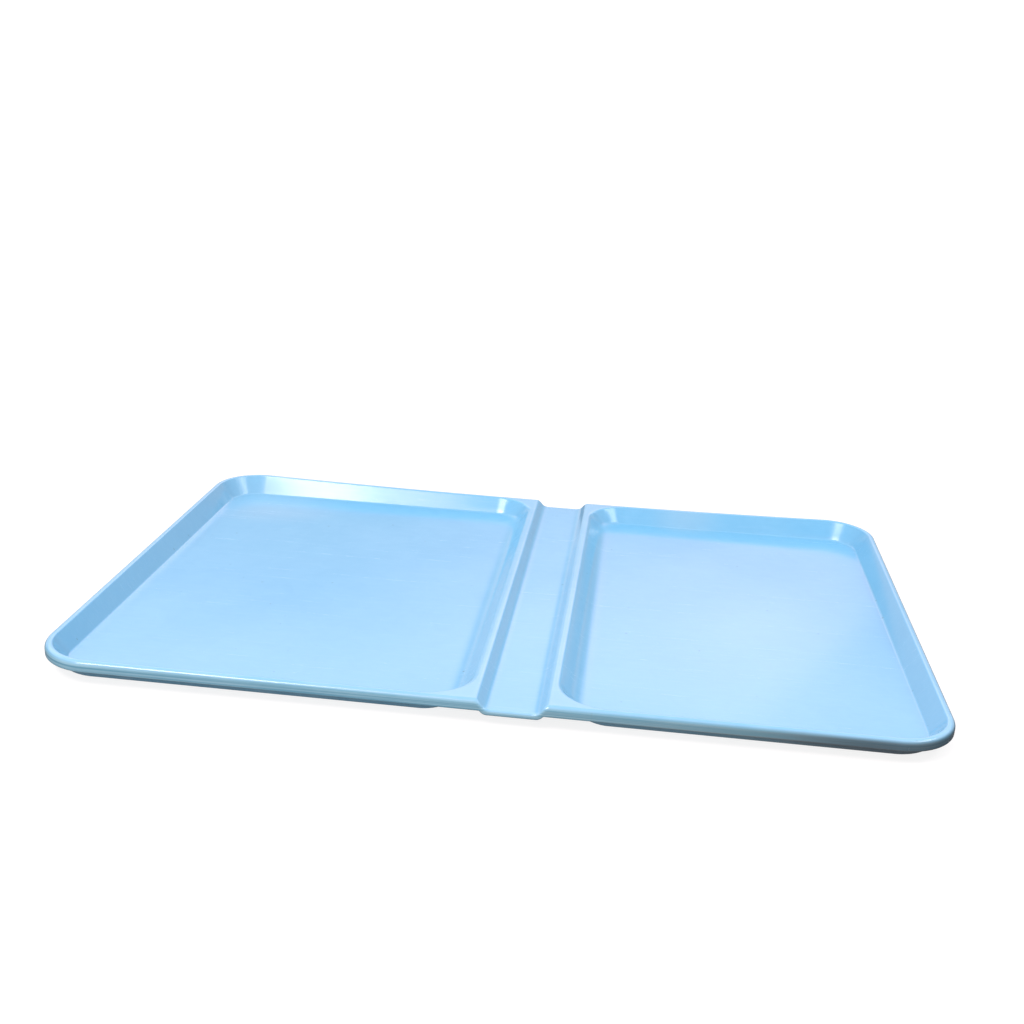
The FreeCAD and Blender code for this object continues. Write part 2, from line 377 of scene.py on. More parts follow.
edge_loops = {}
for b, blk in enumerate(BLOCKS):
    fr, side = blk["fr"], blk["side"]
    x_ch = X_RIDGE0 if side == 1 else X_RIDGE1
    # ---- top side -----------------------------------------------------------
    P0 = basin_profile(blk["run0"], blk["fr0"], False, blk["m0"])
    P1 = basin_profile(blk["run1"], blk["fr1"], False, blk["m1"])
    PY = basin_profile(RUN, FOOT, False)
    K = len(P0)
    outline = block_outline(fr, x_ch, side, EDGE_R)
    mouth = ring(fr, P0[0, 0], P1[0, 0], PY[0, 0])
    rows = []
    # rim and mouth rows take a wear tag; its pale colour is partly painted highlight
    for t in (0.0, 0.33, 0.67):
        q = outline * (1 - t) + mouth * t
        rows.append(m.add(np.c_[q, np.full(NB, H)], (0.75 if t == 0 else 0.45, 0)))
    edge_loops[("top", b)] = rows[0]
    for k in range(K):
        z = W0 * P0[k, 1] + W1 * P1[k, 1] + WY * PY[k, 1]
        q = ring(fr, P0[k, 0], P1[k, 0], PY[k, 0])
        wear_and_highlight = {0: 0.6, 1: 0.7, 2: 0.6, 3: 0.35}.get(k, 0.0)
        rows.append(m.add(np.c_[q, z], (wear_and_highlight, 0)))
    for a, c in zip(rows[:-1], rows[1:]):
        m.loop_strip(a, c)
    fill_floor(m, rows[-1], lambda x, y: T, False, (0.0, 0))

    # ---- underside ----------------------------------------------------------
    Q0 = basin_profile(blk["run0"], blk["fr0"], True)
    Q1 = basin_profile(blk["run1"], blk["fr1"], True)
    QY = basin_profile(RUN, FOOT, True)
    outl = block_outline(fr, x_ch, side, EDGE_BOT_R)

    def wall_at(z):
        """Plan of the outer wall at height z (an array, one per ring point)."""
        pts = np.zeros((NB, 2))
        for zi in np.unique(np.round(z, 4)):
            s = []
            for run in (blk["run0"], blk["run1"], RUN):
                sl = run / DEPTH
                s.append(sl * (H - zi) - T * math.sqrt(1 + sl * sl))
            r_ = ring(fr, *s)
            sel = np.abs(z - zi) < 1e-3
            pts[sel] = r_[sel]
        return pts

    ztop = np.full(NB, LIP_Z)
    for _ in range(30):
        w = wall_at(np.round(ztop, 3))
        ztop = 0.5 * ztop + 0.5 * under_z(w[:, 1])
    # x sides at the tray's ends stay under the lip
    keep = (W0 if side == 1 else W1)
    far = np.abs(ring(fr, 0, 0, 0)[:, 0] - (CH_X0 if side == 1 else CH_X1))
    blend_far = smoothstep((far - 45.0) / 20.0)
    ztop = ztop * (1 - blend_far) + LIP_Z * blend_far
    ztop = np.round(ztop, 2)
    w_top = wall_at(ztop)
    z_foot = W0 * Q0[0, 1] + W1 * Q1[0, 1] + WY * QY[0, 1]
    foot = ring(fr, Q0[0, 0], Q1[0, 0], QY[0, 0])
    # boundary line: outline under the lip, and the foot of the channel flank
    zb = np.full(NB, LIP_Z)
    on_ch = np.abs(outl[:, 0] - x_ch) < 1e-6
    zb[on_ch] = under_z(outl[on_ch, 1])
    sgn = 1 if side == 1 else -1
    bx = outl.copy()
    root = []
    for i in np.where(on_ch)[0]:
        sec = channel_under(zb[i])
        bx[i, 0] = sec[0][0] if side == 1 else sec[-1][0]
    # points on the straight y sides beside the sharp corner follow its new place
    xs_ref = fr["x1"] - fr["r1"] if side == 1 else fr["x0"] + fr["r0"]
    sec = channel_under(LIP_Z)
    x_new = sec[0][0] if side == 1 else sec[-1][0]
    for i in range(NB):
        if not on_ch[i] and (outl[i, 0] - xs_ref) * sgn > 0 and abs(abs(outl[i, 1]) - (HY - EDGE_BOT_R)) < 1e-6:
            f = (outl[i, 0] - xs_ref) / (x_ch - xs_ref)
            bx[i, 0] = xs_ref + (x_new - xs_ref) * f
    brow = [m.add(np.c_[bx, zb], (0.25, 1))]
    edge_loops[("bot", b)] = brow[0]
    # root fillet under the lip, in the plane of each ring point
    for t in (0.45, 0.8, 0.92):
        q = bx * (1 - t) + w_top * t
        zz = zb * (1 - t) + ztop * t
        # the ramp under the web keeps its own height
        near = blend_far < 0.5
        zz = np.where(near, under_z(q[:, 1]), zz)
        brow.append(m.add(np.c_[q, zz], (0.0, 1)))
    for t in (0.10, 0.22, 0.36, 0.52, 0.68, 0.84):
        zz = ztop * (1 - t) + z_foot * t
        w = w_top * (1 - t) + foot * t
        if t == 0.10:
            # small concave rounding at the root
            w = w + (bx - w) / np.maximum(np.linalg.norm(bx - w, axis=1), 1e-6)[:, None] * 0.22
            zz = zz + 0.05
        brow.append(m.add(np.c_[w, zz], (0.0, 1)))
    for k in range(len(Q0)):
        z = W0 * Q0[k, 1] + W1 * Q1[k, 1] + WY * QY[k, 1]
        q = ring(fr, Q0[k, 0], Q1[k, 0], QY[k, 0])
        brow.append(m.add(np.c_[q, z], (0.35 if k > 8 else 0.0, 1)))
    for a, c in zip(brow[:-1], brow[1:]):
        m.loop_strip(a, c, flip=True)
    fill_floor(m, brow[-1], lambda x, y: 0.0, True, (0.3, 1))

# ---- the channel: a strip between the two blocks, top and bottom -------------
k = NC // 2
L0 = NX + k                          # left block: sharp corner, front
l_idx = list(range(L0, NX + NC + NY + k + 1))
r_start = NX + NC + NY + NC + NX + k  # right block: sharp corner, back
r_idx = [(r_start + j) % NB for j in range(NC + NY + 1)][::-1]
tl, tr = edge_loops[("top", 0)], edge_loops[("top", 1)]
bl, br = edge_loops[("bot", 0)], edge_loops[("bot", 1)]
top_rows, bot_rows = [], []
for a, c in zip(l_idx, r_idx):
    ya, yc = m.v[tl[a]][1], m.v[tr[c]][1]
    assert abs(ya - yc) < 1e-6, (ya, yc)
    mid = [(x, ya, z) for x, z in CH_TOP[1:-1]]
    top_rows.append([tl[a]] + m.add(mid, (0.0, 0)) + [tr[c]])
    yb = m.v[bl[a]][1]
    sec = channel_under(m.v[bl[a]][2])
    bot_rows.append([bl[a]] + m.add([(x, yb, z) for x, z in sec[1:-1]], (0.0, 1)) + [br[c]])
m.grid(top_rows, flip=False)
m.grid(bot_rows, flip=True)
# ridge crests take a wear tag; its pale colour is partly painted highlight
for row in top_rows:                 # worn crest of each ridge
    for i, wgt in ((1, 0.7), (2, 0.6), (3, 0.3), (-2, 0.7), (-3, 0.6), (-4, 0.3)):
        m.tag[row[i]] = (wgt, 0)

# ---- the outer edge: one closed loop round the whole tray --------------------
nch = len(CH_TOP)


def loop_of(l, r, rows):
    """Closed boundary loop, anticlockwise from above, starting at the left
    block's front sharp corner and crossing the channel's front edge."""
    out = list(rows[0])                               # front, left to right
    start = (NX + NC + NY + NC + NX + NC + NY + k) % NB   # right block, front sharp
    stop = NX + NC + NY + NC + NX + k                 # right block, back sharp
    j = (start + 1) % NB
    while j != stop:
        out.append(r[j])
        j = (j + 1) % NB
    out += list(rows[-1])[::-1]                       # back, right to left
    j = NX + NC + NY + k + 1                          # left block, after back sharp
    stop = NX + k
    while j % NB != stop:
        out.append(l[j % NB])
        j += 1
    return out


TL, BL = loop_of(tl, tr, top_rows), loop_of(bl, br, bot_rows)
assert len(TL) == len(BL), (len(TL), len(BL))
PT, PB = np.array([m.v[i] for i in TL]), np.array([m.v[i] for i in BL])
n_front = nch
ntop = normals2d(CH_TOP, True)
o = np.zeros((len(TL), 3))
nt = np.tile([0.0, 0.0, 1.0], (len(TL), 1))
nb_ = np.tile([0.0, 0.0, -1.0], (len(TL), 1))
secb = normals2d(channel_under(LIP_Z), False)
back0 = TL.index(top_rows[-1][-1])
for i in range(nch):
    nt[i] = (ntop[i, 0], 0, ntop[i, 1])
    nb_[i] = (secb[i, 0], 0, secb[i, 1])
    nt[back0 + i] = (ntop[nch - 1 - i, 0], 0, ntop[nch - 1 - i, 1])
    nb_[back0 + i] = (secb[nch - 1 - i, 0], 0, secb[nch - 1 - i, 1])
for i in (0, nch - 1, back0, back0 + nch - 1):
    nt[i], nb_[i] = (0, 0, 1), (0, 0, -1)
cx, cy = HX - CORNER, HY - CORNER
for i, p in enumerate(PT):
    dx, dy = max(abs(p[0]) - cx, 0), max(abs(p[1]) - cy, 0)
    if dx > 1e-6 and dy > 1e-6:
        d = np.array([dx * np.sign(p[0]), dy * np.sign(p[1]), 0.0])
    elif abs(p[1]) > HY - EDGE_R - 1e-6:
        d = np.array([0.0, np.sign(p[1]), 0.0])
    else:
        d = np.array([np.sign(p[0]), 0.0, 0.0])
    o[i] = d / np.linalg.norm(d)
# a smaller rounding where the edge is only as thick as the channel's sheet
er = (EDGE_R - (EDGE_R - CH_EDGE_R) * smoothstep((H - PT[:, 2]) / 2.2))[:, None]
rings_ = [TL]
NE = 10
# the top rounding takes a wear tag, strongest on the crest; its pale colour is partly painted highlight
for j in range(1, NE + 1):
    a = 0.5 * math.pi * j / NE
    q = PT + (EDGE_R - er + er * math.sin(a)) * o - er * (1 - math.cos(a)) * nt
    rings_.append(m.add(q, ((0.6, 0.8, 1.0, 1.0, 0.8, 0.5, 0.3, 0.15, 0.1, 0.05)[j - 1], 0.0)))
top_end = PT + EDGE_R * o - er * nt
bot_end = PB + EDGE_BOT_R * o - EDGE_BOT_R * nb_
for t in (0.25, 0.5, 0.75):
    rings_.append(m.add(top_end * (1 - t) + bot_end * t, (0.05, 0.1)))
for j in range(0, 5):
    a = 0.5 * math.pi * (1 - j / 5)
    q = PB + EDGE_BOT_R * math.sin(a) * o - EDGE_BOT_R * (1 - math.cos(a)) * nb_
    rings_.append(m.add(q, ((0.1, 0.2, 0.35, 0.3, 0.2)[j], 0.2 + 0.15 * j)))
rings_.append(BL)
for a, c in zip(rings_[:-1], rings_[1:]):
    m.loop_strip(a, c, flip=True)

V = np.array(m.v)
# A moulding is never dead flat: the floors, walls and rim wander by a tenth of
# a millimetre or two over long distances, which the reflections show.
X, Y = V[:, 0], V[:, 1]
inside = np.clip((HX - np.abs(X)) / 60.0, 0, 1) * np.clip((HY - np.abs(Y)) / 60.0, 0, 1)
wob = (0.10 * np.sin(X / 57.0 + 0.6) * np.sin(Y / 49.0 - 0.4)
       + 0.06 * np.sin(X / 31.0 + Y / 44.0 + 1.7)
       + 0.04 * np.sin(X / 19.0 - Y / 23.0 + 0.3))
off_ground = smoothstep((V[:, 2] - 0.2) / 2.5)
# The rim has crept: it stands a little proud toward the two back corners,
# while the base still lies flat.
bow = (np.minimum(np.abs(X), 236.0) / 225.0) ** 2 * (1.3 + 1.3 * Y / HY)
V[:, 2] += wob * inside * off_ground + bow * np.clip(V[:, 2] / H, 0, 1)

me = bpy.data.meshes.new("tray_shell")
me.from_pydata((V / 1000.0).tolist(), [], [tuple(f) for f in m.f])
me.validate()
me.update()
me.shade_smooth()
tags = np.array(m.tag, np.float32)
# weights of the outer edge band, where its darker laminate colour, partly painted shade, is laid
edge_shade_band_w = np.zeros(len(V), np.float32)
for ring_i, ids in enumerate(rings_):
    edge_shade_band_w[ids] = (0, 0, 0, 0.05, 0.15, 0.35, 0.6, 0.8, 0.95, 1, 1, 1, 1, 1, 1, 1, 1, 0.8, 0.6, 0.3)[min(ring_i, 19)]
for name, col in (("wear_and_highlight", tags[:, 0]), ("under", tags[:, 1]), ("side", edge_shade_band_w)):
    at = me.attributes.new(name, "FLOAT", "POINT")
    at.data.foreach_set("value", np.ascontiguousarray(col))
tray = bpy.data.objects.new("tray_shell", me)
bpy.context.scene.collection.objects.link(tray)
print("tray mesh", len(me.vertices), "verts", len(me.polygons), "faces")
wn = tray.modifiers.new("flat_faces_stay_flat", "WEIGHTED_NORMAL")
wn.mode = "FACE_AREA"
wn.weight = 60
wn.keep_sharp = True

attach(tray, "root")
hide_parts("tray_moulding")


# =============================================================================
# Materials
# =============================================================================
class Nodes:
    def __init__(self, name):
        self.mat = bpy.data.materials.new(name)
        self.mat.use_nodes = True
        self.t = self.mat.node_tree
        self.t.nodes.clear()
        self.out = self.n("ShaderNodeOutputMaterial")
        self.bsdf = self.n("ShaderNodeBsdfPrincipled")
        self.link(self.bsdf.outputs[0], self.out.inputs["Surface"])

    def n(self, kind, **props):
        node = self.t.nodes.new(kind)
        for key, val in props.items():
            setattr(node, key, val)
        return node

    def link(self, a, b):
        self.t.links.new(a, b)

    def put(self, node, **vals):
        for key, val in vals.items():
            node.inputs[key.replace("_", " ")].default_value = val
        return node

    def math(self, op, a, b=None, c=None, clamp=False):
        node = self.n("ShaderNodeMath", operation=op, use_clamp=clamp)
        for i, v in enumerate((a, b, c)):
            if v is None:
                continue
            if isinstance(v, (int, float)):
                node.inputs[i].default_value = v
            else:
                self.link(v, node.inputs[i])
        return node.outputs[0]

    def ramp(self, fac, stops, interp="LINEAR"):
        r = self.n("ShaderNodeValToRGB")
        r.color_ramp.interpolation = interp
        el = r.color_ramp.elements
        while len(el) < len(stops):
            el.new(0.5)
        for e, (p, c) in zip(el, stops):
            e.position = p
            e.color = c if len(c) == 4 else (*c, 1)
        self.link(fac, r.inputs["Fac"])
        return r.outputs["Color"]

    def mixc(self, fac, a, b, mode="MIX"):
        node = self.n("ShaderNodeMix", data_type="RGBA", blend_type=mode)
        for sock, v in ((node.inputs[0], fac), (node.inputs[6], a), (node.inputs[7], b)):
            if isinstance(v, (int, float)):
                sock.default_value = v
            elif isinstance(v, tuple):
                sock.default_value = v if len(v) == 4 else (*v, 1)
            else:
                self.link(v, sock)
        return node.outputs[2]


def noise(N, coord, scale, detail=4.0, rough=0.5, dist=0.0, out="Fac"):
    t = N.n("ShaderNodeTexNoise")
    N.link(coord, t.inputs["Vector"])
    N.put(t, Scale=scale, Detail=detail, Roughness=rough, Distortion=dist)
    return t.outputs[out]


def tray_material():
    N = Nodes("moulded_polyester_blue")
    co = N.n("ShaderNodeTexCoord").outputs["Object"]

    base = (0.154, 0.436, 0.672)
    pale = (0.166, 0.448, 0.682)
    deep = (0.144, 0.424, 0.660)

    # slow cloudiness of the pigment, and a finer mottle of resin over glass mat
    cloud = noise(N, co, 9.0, 3.0, 0.55, 0.4)
    mottle = noise(N, co, 70.0, 5.0, 0.62, 0.8)
    col = N.ramp(cloud, [(0.30, deep), (0.52, base), (0.74, pale)])
    mot = N.ramp(mottle, [(0.30, (0.965, 0.98, 0.988)), (0.52, (1, 1, 1)), (0.75, (1.03, 1.018, 1.008))])
    col = N.mixc(1.0, col, mot, "MULTIPLY")

    # chopped strands that show faintly through the resin
    strands = None
    for i, (ang, sc) in enumerate(((0.35, 1.0), (1.25, 1.15), (2.3, 0.9), (2.9, 1.05))):
        mp = N.n("ShaderNodeMapping")
        N.link(co, mp.inputs["Vector"])
        mp.inputs["Rotation"].default_value = (0.0, 0.0, ang)
        mp.inputs["Scale"].default_value = (42.0 * sc, 900.0 * sc, 300.0)
        s = noise(N, mp.outputs[0], 1.0, 1.0, 0.4, 0.25)
        s = N.math("SMOOTH_MAX", N.math("SUBTRACT", s, 0.60), 0.0, 0.02)
        strands = s if strands is None else N.math("ADD", strands, s)
    strand = N.math("MULTIPLY", strands, 1.0, clamp=True)
    col = N.mixc(N.math("MULTIPLY", strand, 0.20, clamp=True), col, (0.40, 0.66, 0.88))

    # rare dark specks and pin holes
    v = N.n("ShaderNodeTexVoronoi", feature="F1", voronoi_dimensions="2D")
    N.link(co, v.inputs["Vector"])
    N.put(v, Scale=62.0, Randomness=1.0)
    vr = N.n("ShaderNodeSeparateColor")
    N.link(v.outputs["Color"], vr.inputs[0])
    rare = N.math("GREATER_THAN", vr.outputs[0], 0.92)
    size = N.math("MULTIPLY_ADD", vr.outputs[1], 0.036, 0.022)
    dot = N.math("SUBTRACT", 1.0, N.math("DIVIDE", v.outputs["Distance"], size), clamp=True)
    speck = N.math("MULTIPLY", N.math("MULTIPLY", dot, rare), N.math("MULTIPLY_ADD", vr.outputs[2], 0.8, 0.5), clamp=True)
    col = N.mixc(speck, col, (0.09, 0.22, 0.30))

    # scuffs: thin long scratches in a few directions, broken into short runs
    scratch = None
    for i, (ang, seed) in enumerate(((0.18, 3.1), (0.95, 7.7), (1.62, 1.3), (2.62, 5.9))):
        mp = N.n("ShaderNodeMapping")
        N.link(co, mp.inputs["Vector"])
        mp.inputs["Location"].default_value = (seed, seed * 0.7, 0.0)
        mp.inputs["Rotation"].default_value = (0.0, 0.0, ang)
        mp.inputs["Scale"].default_value = (7.0, 520.0, 40.0)
        s = noise(N, mp.outputs[0], 1.0, 2.0, 0.5, 0.12)
        thin = N.ramp(s, [(0.492, (0, 0, 0)), (0.5, (1, 1, 1)), (0.508, (0, 0, 0))])
        gate = N.ramp(noise(N, mp.outputs[0], 0.35, 1.0, 0.5, 0.0), [(0.60, (0, 0, 0)), (0.70, (1, 1, 1))])
        line = N.math("MULTIPLY", thin, gate)
        scratch = line if scratch is None else N.math("MAXIMUM", scratch, line)
    col = N.mixc(N.math("MULTIPLY", scratch, 0.03), col, (0.75, 0.87, 0.96))

    # places where the surface has gone dull and dusty
    pos = N.n("ShaderNodeSeparateXYZ")
    N.link(co, pos.inputs[0])
    film = N.ramp(noise(N, co, 14.0, 3.0, 0.5, 0.3), [(0.25, (0.55, 0.55, 0.55)), (0.70, (1, 1, 1))])

    def blob(cx, cy, rx, ry):
        a = N.math("MULTIPLY", N.math("SUBTRACT", pos.outputs[0], cx), 1 / rx)
        b = N.math("MULTIPLY", N.math("SUBTRACT", pos.outputs[1], cy), 1 / ry)
        d = N.math("ADD", N.math("MULTIPLY", a, a), N.math("MULTIPLY", b, b))
        near = N.math("SUBTRACT", 1.0, d, clamp=True)
        return N.math("MULTIPLY", N.math("MULTIPLY", near, near), film)

    dust = N.math("ADD", blob(-0.222, 0.150, 0.080, 0.055), blob(0.122, 0.182, 0.036, 0.024))
    dull = N.math("ADD", N.math("MULTIPLY", dust, 0.4), blob(0.246, 0.166, 0.045, 0.050), clamp=True)
    dull = N.math("MULTIPLY_ADD", blob(-0.034, 0.172, 0.05, 0.05), 0.8, dull, clamp=True)
    col = N.mixc(N.math("MULTIPLY", dust, 0.26), col, (0.42, 0.53, 0.60))

    # handling wear on the crests: the gloss skin is rubbed pale and dull; the pale colour is partly painted highlight
    # along crests and rim edges
    wear_highlight_tag = N.n("ShaderNodeAttribute", attribute_name="wear_and_highlight").outputs["Fac"]
    wn_ = noise(N, co, 24.0, 5.0, 0.60, 0.3)
    wear_highlight_mask = N.math("MULTIPLY", wear_highlight_tag, N.ramp(wn_, [(0.30, (0.25, 0.25, 0.25)), (0.70, (1, 1, 1))]), clamp=True)
    col = N.mixc(N.math("MULTIPLY", wear_highlight_mask, 0.24), col, (0.62, 0.77, 0.87))
    chip = N.math("MULTIPLY", wear_highlight_tag, N.ramp(noise(N, co, 160.0, 3.0, 0.6, 0.0), [(0.66, (0, 0, 0)), (0.72, (1, 1, 1))]))
    chip = N.math("MULTIPLY", chip, N.ramp(noise(N, co, 11.0, 1.0, 0.5, 0.0), [(0.5, (0, 0, 0)), (0.62, (1, 1, 1))]))
    col = N.mixc(N.math("MULTIPLY", chip, 0.45), col, (0.20, 0.36, 0.44))

    # the trimmed edge band: laminate streaks show, and its greyer, darker colour than the face is painted shade for the
    # dimly lit edge
    edge_band_shade_w = N.n("ShaderNodeAttribute", attribute_name="side").outputs["Fac"]
    mp = N.n("ShaderNodeMapping")
    N.link(co, mp.inputs["Vector"])
    mp.inputs["Scale"].default_value = (7.0, 7.0, 1300.0)
    ply = noise(N, mp.outputs[0], 1.0, 3.0, 0.55, 0.15)
    sn = N.ramp(N.math("MULTIPLY_ADD", ply, 0.75, N.math("MULTIPLY", noise(N, co, 18.0, 5.0, 0.62, 0.5), 0.25)), [(0.38, (0, 0, 0)), (0.62, (1, 1, 1))])
    edge_laminate_and_shade_col = N.mixc(sn, (0.115, 0.315, 0.44), (0.29, 0.51, 0.62))
    # painted shade: the edge band darkens steeply toward the front right corner
    front_right_shade_pos = N.math("MULTIPLY_ADD", sn, 0.04, pos.outputs[0])
    front_right_shade_pos = N.math("SUBTRACT", front_right_shade_pos, N.math("MULTIPLY", N.math("ADD", pos.outputs[1], 0.187), 0.8))
    front_right_painted_shade = N.ramp(front_right_shade_pos, [(0.00, (1, 1, 1)), (0.10, (0.95, 0.88, 0.84)), (0.165, (0.80, 0.68, 0.61)), (0.20, (0.50, 0.38, 0.33)), (0.23, (0.24, 0.175, 0.15))])
    edge_laminate_and_shade_col = N.mixc(1.0, edge_laminate_and_shade_col, front_right_painted_shade, "MULTIPLY")
    col = N.mixc(N.math("MULTIPLY", edge_band_shade_w, 0.85), col, edge_laminate_and_shade_col)

    # the underside: duller, greyer, with the mat more visible
    un = N.n("ShaderNodeAttribute", attribute_name="under").outputs["Fac"]
    un_col = N.mixc(1.0, col, (0.74, 0.76, 0.76), "MULTIPLY")
    un_col = N.mixc(N.math("MULTIPLY", N.ramp(noise(N, co, 26.0, 6.0, 0.7, 1.0), [(0.4, (0, 0, 0)), (0.7, (1, 1, 1))]), 0.35), un_col, (0.34, 0.55, 0.70))
    # the same painted shade darkens the underside toward the front right corner
    un_col = N.mixc(0.85, un_col, front_right_painted_shade, "MULTIPLY")
    col = N.mixc(un, col, un_col)
    N.link(col, N.bsdf.inputs["Base Color"])

    # gloss
    r0 = N.math("MULTIPLY_ADD", mottle, 0.06, 0.14)
    r1 = N.math("MULTIPLY_ADD", cloud, 0.04, r0)
    r2 = N.math("MULTIPLY_ADD", scratch, 0.12, r1)
    r3 = N.math("MULTIPLY_ADD", wear_highlight_mask, 0.05, r2)
    r3 = N.math("MULTIPLY_ADD", dull, 0.05, r3)
    r4 = N.math("MULTIPLY_ADD", un, 0.26, r3, clamp=True)
    N.link(r4, N.bsdf.inputs["Roughness"])
    N.put(N.bsdf, IOR=1.50)
    # on the walls near two back corners a film also takes some of the shine
    wall = N.n("ShaderNodeMapRange", interpolation_type="SMOOTHSTEP")
    N.link(pos.outputs[2], wall.inputs["Value"])
    wall.inputs["From Min"].default_value = 0.0045
    wall.inputs["From Max"].default_value = 0.0085
    veil = N.math("ADD", blob(0.238, 0.178, 0.055, 0.050), N.math("MULTIPLY", blob(-0.034, 0.178, 0.050, 0.050), 0.8), clamp=True)
    veil = N.math("MULTIPLY", veil, wall.outputs["Result"])
    N.link(N.math("MULTIPLY_ADD", veil, -0.34, 0.5), N.bsdf.inputs["Specular IOR Level"])
    N.link(N.math("MULTIPLY_ADD", veil, -0.30, 0.35), N.bsdf.inputs["Coat Weight"])
    N.link(N.math("MULTIPLY_ADD", dull, 0.17, 0.08), N.bsdf.inputs["Coat Roughness"])
    N.bsdf.inputs["Coat IOR"].default_value = 1.5

    # relief: orange peel, strand print-through, scratches, specks and a rougher underside
    peel = noise(N, co, 210.0, 2.0, 0.5, 0.0)
    swell = noise(N, co, 38.0, 2.0, 0.5, 0.0)
    h = N.math("MULTIPLY_ADD", swell, 0.30, N.math("MULTIPLY", peel, 0.03))
    h = N.math("MULTIPLY_ADD", strand, 0.006, h)
    h = N.math("MULTIPLY_ADD", scratch, -0.008, h)
    h = N.math("MULTIPLY_ADD", speck, -0.2, h)
    rough_u = noise(N, co, 330.0, 4.0, 0.6, 0.4)
    h = N.math("MULTIPLY_ADD", N.math("MULTIPLY", rough_u, un), 0.9, h)
    bump = N.n("ShaderNodeBump")
    bump.inputs["Strength"].default_value = 0.35
    bump.inputs["Distance"].default_value = 0.00012
    N.link(h, bump.inputs["Height"])
    N.link(bump.outputs[0], N.bsdf.inputs["Normal"])
    N.link(bump.outputs[0], N.bsdf.inputs["Coat Normal"])
    return N.mat


def rod_material():
    N = Nodes("drawn_aluminium_rod")
    co = N.n("ShaderNodeTexCoord").outputs["Object"]
    N.bsdf.inputs["Metallic"].default_value = 1.0
    grain = noise(N, co, 420.0, 5.0, 0.65, 1.2)
    blotch = noise(N, co, 60.0, 3.0, 0.5, 0.0)
    col = N.ramp(blotch, [(0.3, (0.70, 0.71, 0.72)), (0.7, (0.82, 0.83, 0.84))])
    col = N.mixc(N.math("MULTIPLY", grain, 0.35), col, (0.58, 0.59, 0.60))
    N.link(col, N.bsdf.inputs["Base Color"])
    N.link(N.math("MULTIPLY_ADD", grain, 0.25, 0.24), N.bsdf.inputs["Roughness"])
    bump = N.n("ShaderNodeBump")
    bump.inputs["Strength"].default_value = 0.25
    bump.inputs["Distance"].default_value = 0.00005
    N.link(grain, bump.inputs["Height"])
    N.link(bump.outputs[0], N.bsdf.inputs["Normal"])
    return N.mat


tray.data.materials.append(tray_material())
rod_mat = rod_material()
for name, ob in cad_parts.items():
    if name.startswith("corner_rod"):
        ob.data.materials.clear()
        ob.data.materials.append(rod_mat)

# =============================================================================
# Stage, light and camera
# =============================================================================
scene = bpy.context.scene
scene.view_settings.view_transform = "Standard"
scene.view_settings.look = "None"
scene.view_settings.exposure = 0.0
scene.view_settings.gamma = 1.0

S = 14.0
fm = bpy.data.meshes.new("floor")
fm.from_pydata([(-S, -S, 0), (S, -S, 0), (S, S, 0), (-S, S, 0)], [], [(0, 1, 2, 3)])
floor = bpy.data.objects.new("floor", fm)
floor.location = (0, 0, -0.0004)
scene.collection.objects.link(floor)
N = Nodes("pale_floor")
co = N.n("ShaderNodeTexCoord").outputs["Object"]
N.link(N.ramp(noise(N, co, 3.0, 3.0, 0.5), [(0.3, (0.19, 0.19, 0.19)), (0.7, (0.21, 0.21, 0.21))]), N.bsdf.inputs["Base Color"])
N.bsdf.inputs["Roughness"].default_value = 0.9
N.bsdf.inputs["Specular IOR Level"].default_value = 0.0
N.bsdf.inputs["Emission Color"].default_value = (1, 1, 1, 1)
N.bsdf.inputs["Emission Strength"].default_value = 0.84
floor.data.materials.append(N.mat)

# a white sweep that stands behind everything, all the way round
ring_n, RB, HB = 96, 13.5, 3.2
bv, bf = [], []
for i in range(ring_n):
    a = 2 * math.pi * i / ring_n
    for rr, zz in ((RB - 0.9, -0.0003), (RB - 0.25, 0.25), (RB, 0.9), (RB, HB)):
        bv.append((rr * math.cos(a), rr * math.sin(a), zz))
for i in range(ring_n):
    a, b = 4 * i, 4 * ((i + 1) % ring_n)
    for q in range(3):
        bf.append((a + q, a + q + 1, b + q + 1, b + q))
bm_ = bpy.data.meshes.new("backdrop")
bm_.from_pydata(bv, [], bf)
bm_.shade_smooth()
backdrop = bpy.data.objects.new("backdrop", bm_)
scene.collection.objects.link(backdrop)
N = Nodes("pale_backdrop")
N.bsdf.inputs["Base Color"].default_value = (0.3, 0.3, 0.3, 1)
N.bsdf.inputs["Emission Color"].default_value = (1, 1, 1, 1)
N.bsdf.inputs["Emission Strength"].default_value = 0.95
backdrop.data.materials.append(N.mat)
for ob in (floor, backdrop):
    ob.visible_glossy = False
    ob.visible_diffuse = False

# The room: a pale studio whose light comes mostly from a broad bright ceiling,
# over a darker band of wall above a white horizon.
world = bpy.data.worlds.new("studio")
scene.world = world
world.use_nodes = True
W = Nodes.__new__(Nodes)
W.t = world.node_tree
W.t.nodes.clear()
wout = W.n("ShaderNodeOutputWorld")
bg = W.n("ShaderNodeBackground")
W.link(bg.outputs[0], wout.inputs["Surface"])
sep = W.n("ShaderNodeSeparateXYZ")
W.link(W.n("ShaderNodeTexCoord").outputs["Generated"], sep.inputs[0])
dx, dy, dz = sep.outputs[0], sep.outputs[1], sep.outputs[2]


def grey(v):
    return (v, v, v)


LIFT = 2.0


def sky(coord, stops):
    """A brightness that changes with height above the horizon, in degrees."""
    return W.math("MULTIPLY", W.ramp(coord, [(math.sin(math.radians(a)), grey(v / LIFT)) for a, v in stops]), LIFT)


def step(x, lo, hi):
    n = W.n("ShaderNodeMapRange", interpolation_type="SMOOTHSTEP")
    W.link(x, n.inputs["Value"])
    n.inputs["From Min"].default_value = lo
    n.inputs["From Max"].default_value = hi
    return n.outputs["Result"]


